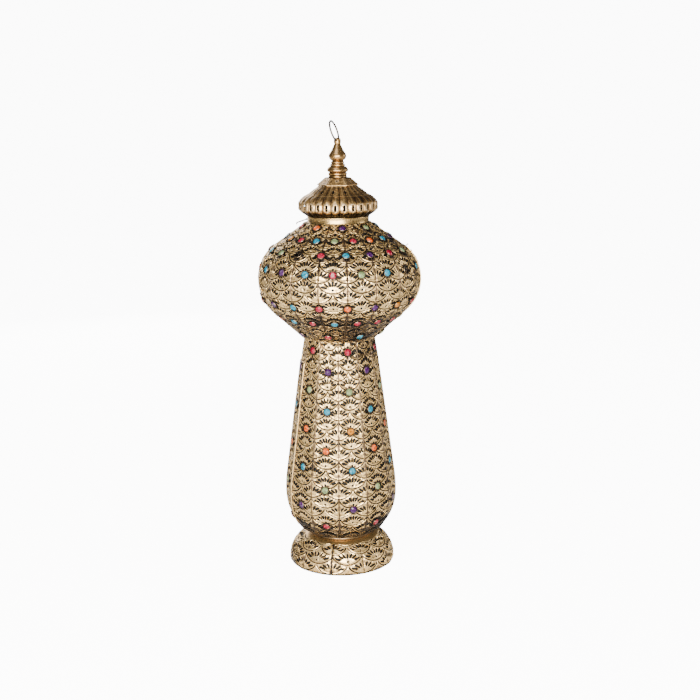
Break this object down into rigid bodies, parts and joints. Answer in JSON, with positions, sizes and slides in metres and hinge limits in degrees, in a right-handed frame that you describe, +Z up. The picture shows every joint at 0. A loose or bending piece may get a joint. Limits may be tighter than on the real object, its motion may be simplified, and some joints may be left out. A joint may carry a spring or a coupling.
{
  "type": "candle lantern",
  "caption": "Tall standing candle lantern of pierced, embossed gold sheet metal set with coloured gems: domed foot, tapering column, bulbous upper chamber, hinged ribbed cap and ring.",
  "frame": {"origin": "centre of the foot on the surface that it stands on", "axes": "+Z up along the lantern, -Y towards the front, +X to the viewer's right"},
  "size_m": [0.3284, 0.3228, 0.9079],
  "materials": {
    "antique_gold": "antique gold paint rubbed over dark embossed steel sheet",
    "polished_gold": "smooth lacquered gold",
    "dark_metal": "dark bronze paint",
    "wire": "darkened steel wire",
    "gem_cup": "antique gold, dark inside",
    "gem_red": "faceted, foil backed",
    "gem_orange": "faceted, foil backed",
    "gem_amber": "faceted, foil backed",
    "gem_green": "faceted, foil backed",
    "gem_cyan": "faceted, foil backed",
    "gem_purple": "faceted, foil backed"
  },
  "bodies": {
    "lantern": {"cap_catch": "wire", "cap_hinge_frame_knuckles": "antique_gold", "cap_hinge_pin": "antique_gold", "column_candle_cup": "dark_metal", "column_candle_plate": "dark_metal", "column_hinge_frame_knuckles": "antique_gold", "column_hinge_pins": "antique_gold", "column_latch_stud": "wire", "column_shell": "antique_gold", "foot_hem": "antique_gold", "foot_shell": "antique_gold", "lantern_gem_cups": "gem_cup", "lantern_gems_amber": "gem_amber", "lantern_gems_cyan": "gem_cyan", "lantern_gems_green": "gem_green", "lantern_gems_orange": "gem_orange", "lantern_gems_purple": "gem_purple", "lantern_gems_red": "gem_red", "neck_collar": "dark_metal", "neck_ring": "dark_metal", "upper_body_shell": "antique_gold", "upper_candle_cup": "dark_metal", "upper_candle_plate": "dark_metal", "upper_hinge_frame_knuckles": "antique_gold", "upper_hinge_pins": "antique_gold", "upper_latch_stud": "wire"},
    "column_door": {"column_door": "antique_gold", "column_door_gem_cups": "gem_cup", "column_door_gems_cyan": "gem_cyan", "column_door_gems_green": "gem_green", "column_door_gems_orange": "gem_orange", "column_door_gems_purple": "gem_purple", "column_door_gems_red": "gem_red", "column_hinge_leaf_knuckles": "antique_gold", "column_latch_pivot": "wire"},
    "column_door_hook": {"column_latch_hook": "wire"},
    "upper_door": {"upper_door": "antique_gold", "upper_door_gem_cups": "gem_cup", "upper_door_gems_cyan": "gem_cyan", "upper_door_gems_orange": "gem_orange", "upper_door_gems_purple": "gem_purple", "upper_hinge_leaf_knuckles": "antique_gold", "upper_latch_pivot": "wire"},
    "upper_door_hook": {"upper_latch_hook": "wire"},
    "cap": {"cap_band": "polished_gold", "band_rivets": "polished_gold", "cap_dome": "antique_gold", "cap_cone": "antique_gold", "finial_bead": "polished_gold", "finial_spire": "polished_gold", "finial_rod": "dark_metal", "finial_nut": "dark_metal", "cap_hinge_leaf_knuckle": "antique_gold", "cap_hook_bracket": "wire"},
    "cap_hook": {"cap_hook": "wire"},
    "ring": {"hanging_ring": "wire"}
  },
  "joints": [
    {"name": "column_door_hinge", "type": "hinge", "parent": "lantern", "child": "column_door", "pos_m": [-0.09567, 0.05523, 0.2154], "axis": [-0.1167, 0.0674, -0.9909], "range_deg": [0, 110]},
    {"name": "column_door_hook_pivot", "type": "hinge", "parent": "column_door", "child": "column_door_hook", "pos_m": [-0.07282, -0.03452, 0.41879], "axis": [-0.9577, -0.2566, 0.1302], "range_deg": [0, 180]},
    {"name": "upper_door_hinge", "type": "hinge", "parent": "lantern", "child": "upper_door", "pos_m": [0.12999, 0.10266, 0.60118], "axis": [-0.0483, -0.0382, 0.9981], "range_deg": [0, 110]},
    {"name": "upper_door_hook_pivot", "type": "hinge", "parent": "upper_door", "child": "upper_door_hook", "pos_m": [0.14456, 0.00644, 0.64933], "axis": [0.7879, 0.1149, 0.605], "range_deg": [0, 180]},
    {"name": "cap_hinge", "type": "hinge", "parent": "lantern", "child": "cap", "pos_m": [0.00197, 0.06647, 0.712], "axis": [-0.9996, 0.0297, 0], "range_deg": [0, 90]},
    {"name": "cap_hook_pivot", "type": "hinge", "parent": "cap", "child": "cap_hook", "pos_m": [-0.06374, 0.0132, 0.714], "axis": [0.2028, 0.9792, 0], "range_deg": [-16, 70]},
    {"name": "hanging_ring_swing", "type": "hinge", "parent": "cap", "child": "ring", "pos_m": [0, 0, 0.8685], "axis": [0.2504, 0.9681, 0], "range_deg": [-61, 98]}
  ]
}
